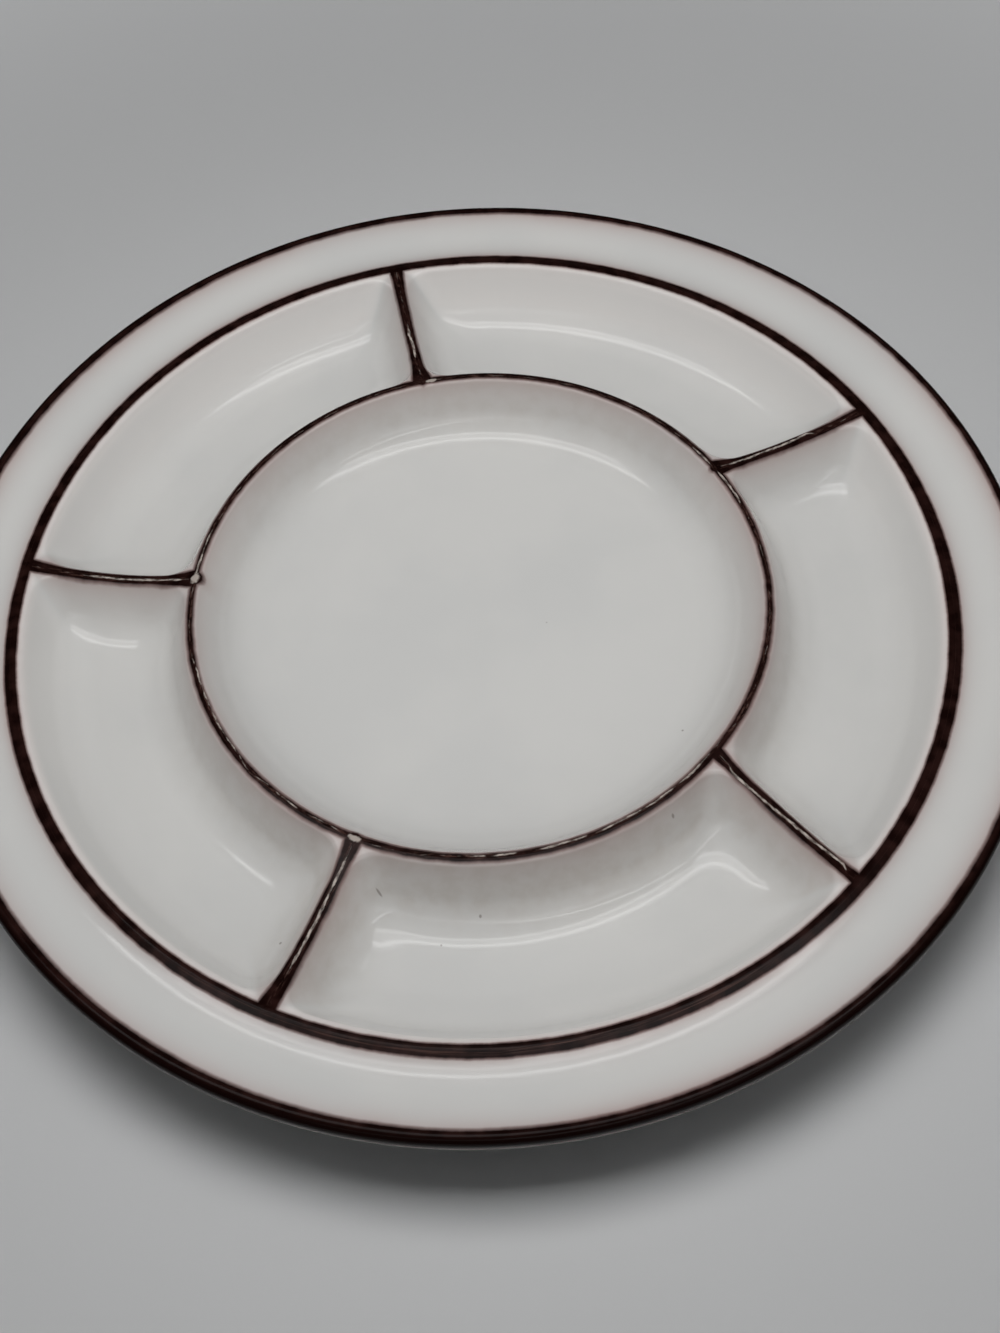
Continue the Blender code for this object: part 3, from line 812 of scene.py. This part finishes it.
def worn_crest_group():
    """Wear and painted highlight along a crest, from its Run in millimetres along and across, and the pale
    sliver's width.

    Noise along the crest makes the sliver waver and takes up to its whole width away, so that a thin one
    breaks up into flecks. Pale is how pale the crest is there and in the Spot at a joint, partly worn bare
    and partly a painted highlight. The second output marks flecks near the middle of the run: slip rubbed
    thin on most crests, and a painted sheen on the well line in front."""
    sockets = [("Run", "NodeSocketVector"), ("Sliver", "NodeSocketFloat"), ("Spot", "NodeSocketFloat")]
    outputs = [("Pale", "NodeSocketFloat"), ("Rubbed_and_sheen", "NodeSocketFloat")]
    tree, given, result = group_with("worn_crest", sockets, outputs)
    run = given.outputs["Run"]
    across = shader_node(tree, "ShaderNodeSeparateXYZ", {0: run}).outputs["Y"]
    slow = ramp(tree, noise_along(tree, run, 0.12), 0.2, 0.8, -slow_sway, slow_sway)
    quick = ramp(tree, noise_along(tree, run, 0.9), 0.2, 0.8, -quick_sway, quick_sway)
    middle = maths(tree, "SUBTRACT", across, maths(tree, "ADD", slow, quick))
    gaps = noise_along(tree, run, 0.22, detail=3.0, rough=0.55)
    lost = ramp(tree, gaps, 0.40, 0.66, 0.0, most_lost)
    half = maths(tree, "SUBTRACT", maths(tree, "MULTIPLY", given.outputs["Sliver"], 0.5), lost)
    off = maths(tree, "SUBTRACT", maths(tree, "ABSOLUTE", middle), half)
    # The sliver is pale: partly slip worn bare, partly a painted highlight.
    sliver = maths(tree, "MULTIPLY", ramp(tree, off, 0.16, -0.08), ramp(tree, half, -0.02, 0.12))
    mottle = noise_along(tree, run, 0.5, 1.2, detail=3.0)
    sliver = maths(tree, "MULTIPLY", sliver, ramp(tree, mottle, 0.34, 0.66, 0.15, 0.95))
    ragged = ramp(tree, noise(tree, own_place(tree), 900.0), 0.2, 0.8, -0.22, 0.22)
    # The spot at a joint is pale: partly worn bare, partly a painted highlight.
    spot = ramp(tree, maths(tree, "ADD", given.outputs["Spot"], ragged), 0.05, 0.50, 0.0, 0.75)
    tree.links.new(maths(tree, "MAXIMUM", sliver, spot), result.inputs["Pale"])
    # Flecks near the middle of the run: rubbed slip on most crests, and a painted sheen on the well line in
    # front.
    fleck = noise_along(tree, run, 0.45, 2.2, detail=3.0, rough=0.6)
    patch = ramp(tree, noise_along(tree, run, 0.07), 0.40, 0.60, 0.35, 1.0)
    near = ramp(tree, maths(tree, "ABSOLUTE", across), 0.85, 0.25)
    shown = maths(tree, "MULTIPLY", patch, near)
    tree.links.new(maths(tree, "MULTIPLY", ramp(tree, fleck, 0.46, 0.66), shown), result.inputs["Rubbed_and_sheen"])
    return tree


worn_crest = worn_crest_group()


def brown_finish():
    """Gloss brown slip, rubbed dull in flecks, with a painted sheen in flecks along the well line's front,
    and cream along the crest, partly worn and partly a painted highlight.
    """
    finish, tree, shader = new_finish("brown_glaze")
    shader.inputs["Specular IOR Level"].default_value = 0.10
    over = glaze_over_slip(tree)
    marks = {"Sliver": attribute(tree, "wear"), "Spot": attribute(tree, "spot")}
    worn = place_group(tree, worn_crest, {"Run": attribute(tree, "run", "Vector"), **marks})
    skin = place_group(tree, glaze_skin)
    # The slip rubbed thin in flecks, and on the well line's front a painted sheen.
    rub_and_sheen = maths(tree, "MULTIPLY", worn.outputs["Rubbed_and_sheen"], rub_and_sheen_strength)
    rubbed_and_sheen_colour = mixed(tree, rub_and_sheen, over.outputs["Colour"], rubbed_and_sheen_slip)
    # Cream where the crest is pale: partly worn bare, partly a painted highlight.
    tree.links.new(mixed(tree, worn.outputs["Pale"], rubbed_and_sheen_colour, cream_wear_and_highlight), shader.inputs["Base Color"])
    rough = maths(tree, "ADD", skin.outputs["Gloss"], maths(tree, "MULTIPLY", worn.outputs["Pale"], 0.3))
    tree.links.new(maths(tree, "ADD", rough, 0.10), shader.inputs["Roughness"])
    uneven(tree, shader, skin.outputs["Height"], *glaze_bump)
    return finish


brown_glaze = brown_finish()


def pale_joint_spots(grid):
    """How pale the ring is at its joints, partly worn bare and partly a painted highlight: a peak of 1 at
    each spot, which falls to 0 at the spot's edge.
    """
    spot = np.full(grid.shape[:2], -1.0)
    for copy, (long, wide, shift) in enumerate(joint_spots):
        along, across = from_joint(grid, copy)
        spot = np.maximum(spot, 1 - np.hypot((along - shift) / long, across / wide))
    return spot


def between(values, start, end, fade):
    """1 between start and end, and a straight fade to 0 outside them."""
    return np.clip(np.minimum(values - start, end - values) / fade + 1, 0, 1)


def pale_slivers(places, slivers, fade):
    """The width of the pale sliver along a crest, partly wear and partly a painted highlight, and how far
    off its middle line it runs, in millimetres.

    Each sliver has a start, an end, a width, and its place across the crest at its start and at its end."""
    width = scattered_wear_and_highlight
    side = 0.0
    for start, end, wide, first, last in slivers:
        there = between(places, start, end, fade)
        width = width + wide * there
        side = side + there * (first + (last - first) * (places - start) / (end - start))
    return width, side


def band_marks(grid, along, across, wear, seed):
    """A band's marks: those of the fields, its pale spots and slivers, partly wear and partly a painted
    highlight, and its run along and across.
    """
    run = np.stack(np.broadcast_arrays(along, across, float(seed)), axis=-1)
    wear = np.broadcast_to(wear, grid.shape[:2])
    return {**face_marks(grid), "run": run, "wear": wear, "spot": pale_joint_spots(grid)}


crest_columns = round_turns(1200)
ring_across = np.linspace(-ring_band_half, ring_band_half, 17)[:, None]
ring_grid = face_grid(ring_crest + ring_across, crest_columns)
ring_sliver_width, ring_side = pale_slivers(np.degrees(crest_columns), ring_slivers, ring_fade)
ring_run = ring_across / millimetre - ring_side
ring_marks = band_marks(ring_grid, ring_crest * crest_columns / millimetre, ring_run, ring_sliver_width, 1)
coat("ring_line", "ring_band", "brown_glaze", ring_grid, True, ring_marks, brown_glaze)


# The divider lines: the same brown slip on the crests of the five dividers, wider where each joins the ring
# and the well crest. Each has one long pale sliver along its sagging crest, partly wear and partly a painted
# highlight.
divider_slivers = (  # shares of the divider's length to its start and end, then millimetres, as on the ring
    (0.30, 0.50, 0.58, -0.1, 0.1),
    (0.12, 0.62, 0.44, 0.0, 0.0),
    (0.14, 0.72, 0.48, 0.0, 0.0),
    (0.14, 0.90, 0.44, -0.8, 0.8),
    (0.14, 0.66, 0.42, 0.0, 0.8),
)
divider_fade = 0.04
first_divider_seed = 10
line_turns = band_turn * np.linspace(-1, 1, 17)
line_share = (field_radii - ring_crest) / (well_crest - ring_crest)
for copy, sliver in enumerate(divider_slivers):
    line_grid = face_grid(field_radii, divider_turn(copy, field_radii) + line_turns)
    line_sliver_width, line_side = pale_slivers(line_share, (sliver,), divider_fade)
    line_run = field_radii * np.sin(line_turns) / millimetre - line_side
    line_seed = first_divider_seed + copy
    line_marks = band_marks(line_grid, field_radii / millimetre, line_run, line_sliver_width, line_seed)
    names = (f"divider_line_{copy + 1}", f"divider_band_{copy + 1}")
    coat(*names, "brown_glaze", line_grid, False, line_marks, brown_glaze)


# The well line: the same brown slip on the crest between the compartments and the flange, brushed out over
# the shoulder. Along its middle in front it is painted paler in flecks, as a painted sheen.
sheen_middle = 1.3  # millimetres outside the well crest
sheen_reach = radians(42.0)  # to each side of the front
sheen_least = 0.05
sheen_drawn_out = 7.0  # how many times longer its flecks are than on the other crests
inside_radii = well_crest + np.linspace(-well_band_inside, 0, 10)[:-1, None]
shoulder_path = stretch(rim, 0.0, shoulder_end, 16)
well_grid = np.vstack([face_grid(inside_radii, crest_columns), turned_grid(shoulder_path, crest_columns)])
well_across = (np.hypot(well_grid[..., 0], well_grid[..., 1]) - well_crest) / millimetre
# The painted sheen fades out away from the front.
well_sheen = np.clip(1 - ((crest_columns - pi - back_turn) / sheen_reach) ** 2, sheen_least, 1)
well_run = (well_across - sheen_middle) / well_sheen
well_along = well_crest * crest_columns / millimetre / sheen_drawn_out
well_marks = band_marks(well_grid, well_along, well_run, 0.0, 2)
coat("well_line", "well_band", "brown_glaze", well_grid, True, well_marks, brown_glaze)


# The lip line: brown slip brushed round the whole lip, over its top round and down its edge, and fired to
# the same gloss. It is paler where it thins towards the flange, and darker down its edge, which is painted
# shade.
lip_shade_start = 0.6  # millimetres along its section, past which its edge is painted darker as shade
lip_path = stretch(rim, lip_start, lip_end, 44)
lip_grid = turned_grid(lip_path, rim_columns)
lip_lengths = np.broadcast_to(lengths_along(lip_path)[:, None] / millimetre, lip_grid.shape[:2])
lip_along = plate_radius / millimetre * rim_columns
lip_marks = {
    "edge": -np.minimum(lip_lengths + lip_spread, lip_lengths.max() - lip_lengths),
    "halo": wide_halo + (narrow_halo - wide_halo) * lip_lengths / lip_lengths.max(),
    # Further down its section this mark darkens the slip: painted shade down the lip's edge.
    "thin": -np.clip(lip_lengths - lip_shade_start, 0, 1),
    "run": np.stack(np.broadcast_arrays(lip_along, lip_lengths + no_band, 0.0), axis=-1),
    "wear": np.zeros(lip_lengths.shape),
    "spot": np.full(lip_lengths.shape, -1.0),
}
coat("lip_line", "lip_band", "brown_glaze", lip_grid, True, lip_marks, brown_glaze)


# The floor: a plain matt table top in pale grey, wide enough to fill the view. It holds the plate's shadow,
# and further out it is the even grey of the backdrop.
floor_half = 3.0
floor_grey = (0.60, 0.605, 0.61)
floor_cloud = (0.64, 0.645, 0.65)
backdrop_colour = (0.38, 0.384, 0.388)
fade_start = 0.14  # from the plate's axis
fade_end = 0.36


def floor_finish():
    """Matt pale grey with the faintest cloud, which fades to the camera into the backdrop's grey.

    From below it is clear, so that the plate's underside can be looked at."""
    finish, tree, shader = new_finish("pale_floor")
    place = own_place(tree)
    cloud = noise(tree, place, 3.0, detail=3.0)
    tree.links.new(mixed(tree, cloud, floor_grey, floor_cloud), shader.inputs["Base Color"])
    shader.inputs["Roughness"].default_value = 0.7
    clear = tree.nodes.new("ShaderNodeBsdfTransparent")
    below = tree.nodes.new("ShaderNodeNewGeometry").outputs["Backfacing"]
    glow = shader_node(tree, "ShaderNodeEmission", {"Color": (*backdrop_colour, 1.0)})
    away = shader_node(tree, "ShaderNodeVectorMath", {0: place}, operation="LENGTH").outputs["Value"]
    by_camera = tree.nodes.new("ShaderNodeLightPath").outputs["Is Camera Ray"]
    far = maths(tree, "MULTIPLY", ramp(tree, away, fade_start, fade_end), by_camera)
    faded = shader_node(tree, "ShaderNodeMixShader", {0: far, 1: shader.outputs[0], 2: glow.outputs[0]})
    either = shader_node(tree, "ShaderNodeMixShader", {0: below, 1: faded.outputs[0], 2: clear.outputs[0]})
    tree.links.new(either.outputs[0], tree.nodes["Material Output"].inputs["Surface"])
    return finish


floor_mesh = bpy.data.meshes.new("floor")
floor_corners = [(x * floor_half, y * floor_half, 0) for x, y in ((-1, -1), (1, -1), (1, 1), (-1, 1))]
floor_mesh.from_pydata(floor_corners, [], [(0, 1, 2, 3)])
floor_mesh.materials.append(floor_finish())
floor = bpy.data.objects.new("floor", floor_mesh)
bpy.context.scene.collection.objects.link(floor)


# The light: a soft lamp close above the plate, weak fills around it, and panels further up that only the
# gloss mirrors, as streaks in the coves. The side and front fills are kept off the floor, so that the shadow
# stays deep. The room is dark, and to the camera it is the backdrop's pale grey.
view_turn = radians(-7.9)  # the camera's turn round the plate from -Y
panel_turn = radians(-13.0)
strip_turn = radians(28.0)
room_dark = (0.02, 0.02, 0.02)
down = (0, 0, -1)


def panel_light(name, place, aim, wide, deep, brightness, turn=0.0, mirrored=False):
    """A rectangular soft light, placed and aimed as the camera sees it, with an even surface brightness.

    A mirrored one shows in the gloss alone, and the others light the surface alone."""
    lamp = bpy.data.lights.new(name, "AREA")
    lamp.shape = "RECTANGLE"
    lamp.size = wide
    lamp.size_y = deep
    lamp.energy = brightness * pi * wide * deep
    light = bpy.data.objects.new(name, lamp)
    around = Matrix.Rotation(view_turn + turn, 4, "Z")
    towards = Vector(aim).to_track_quat("-Z", "Y").to_matrix().to_4x4()
    light.matrix_world = around @ Matrix.Translation(place) @ towards
    light.visible_diffuse = not mirrored
    light.visible_glossy = mirrored
    bpy.context.scene.collection.objects.link(light)
    return light


panel_light("lamp", (0.0, 0.0, 0.45), down, 0.3, 0.2, 7.4)
panel_light("overhead_left", (-0.75, 0.0, 0.77), down, 0.5, 0.8, 0.50)
panel_light("overhead_right", (0.75, 0.0, 0.77), down, 0.5, 0.8, 0.62)
fills = [
    panel_light("left", (-0.9, 0.0, 0.57), (1, 0, 0), 1.8, 0.45, 0.68),
    panel_light("right", (0.9, 0.0, 0.57), (-1, 0, 0), 1.8, 0.45, 0.56),
    panel_light("front", (0.0, -0.9, 0.57), (0, 1, 0), 1.8, 0.45, 0.75),
]
off_floor = bpy.data.collections.new("off_floor")
off_floor.objects.link(floor)
off_floor.collection_objects[0].light_linking.link_state = "EXCLUDE"
for fill in fills:
    fill.light_linking.receiver_collection = off_floor
panel_light("panel", (0.02, -0.09, 0.77), down, 0.98, 0.30, 1.3, panel_turn, mirrored=True)
panel_light("back_tube", (0.02, -0.02, 0.768), down, 0.98, 0.06, 2.2, panel_turn, mirrored=True)
panel_light("front_tube", (0.02, -0.19, 0.768), down, 0.98, 0.06, 1.3, panel_turn, mirrored=True)
panel_light("low_strip", (0.0, -0.71, 0.57), (0, 0.78, -0.62), 0.9, 0.10, 0.7, mirrored=True)
panel_light("side_strip", (-0.04, -0.71, 0.768), down, 0.79, 0.07, 2.8, strip_turn, mirrored=True)

room = bpy.data.worlds.new("room")
room.use_nodes = True
room_tree = room.node_tree
room_seen = room_tree.nodes.new("ShaderNodeLightPath").outputs["Is Camera Ray"]
room_colour = mixed(room_tree, room_seen, room_dark, backdrop_colour)
room_tree.links.new(room_colour, room_tree.nodes["Background"].inputs["Color"])
bpy.context.scene.world = room


# The camera: close above the near edge, as the plate was photographed, with a place fitted to the picture.
# It faces the plate's centre at the crests' height, then pans, tilts and rolls a little.
picture_height = 1333.0
focal_pixels = 1600.0
eye_elevation = 0.9686979
eye_distance = 0.37078
eye_pan = 0.0094459
eye_tilt = -0.0462396
eye_roll = -0.0903329

lens = bpy.data.cameras.new("camera")
lens.sensor_width = 36.0
lens.lens = lens.sensor_width * focal_pixels / picture_height
lens.clip_start = 0.01
camera = bpy.data.objects.new("camera", lens)
facing = Matrix.Rotation(view_turn, 4, "Z") @ Matrix.Rotation(pi / 2 - eye_elevation, 4, "X")
eye = Matrix.Translation((0, 0, crest_height)) @ facing @ Matrix.Translation((0, 0, eye_distance))
swing = Matrix.Rotation(-eye_pan, 4, "Y") @ Matrix.Rotation(eye_tilt, 4, "X")
swing = swing @ Matrix.Rotation(eye_roll, 4, "Z")
camera.matrix_world = eye @ swing
bpy.context.scene.collection.objects.link(camera)
bpy.context.scene.camera = camera
bpy.context.scene.view_settings.view_transform = "Standard"
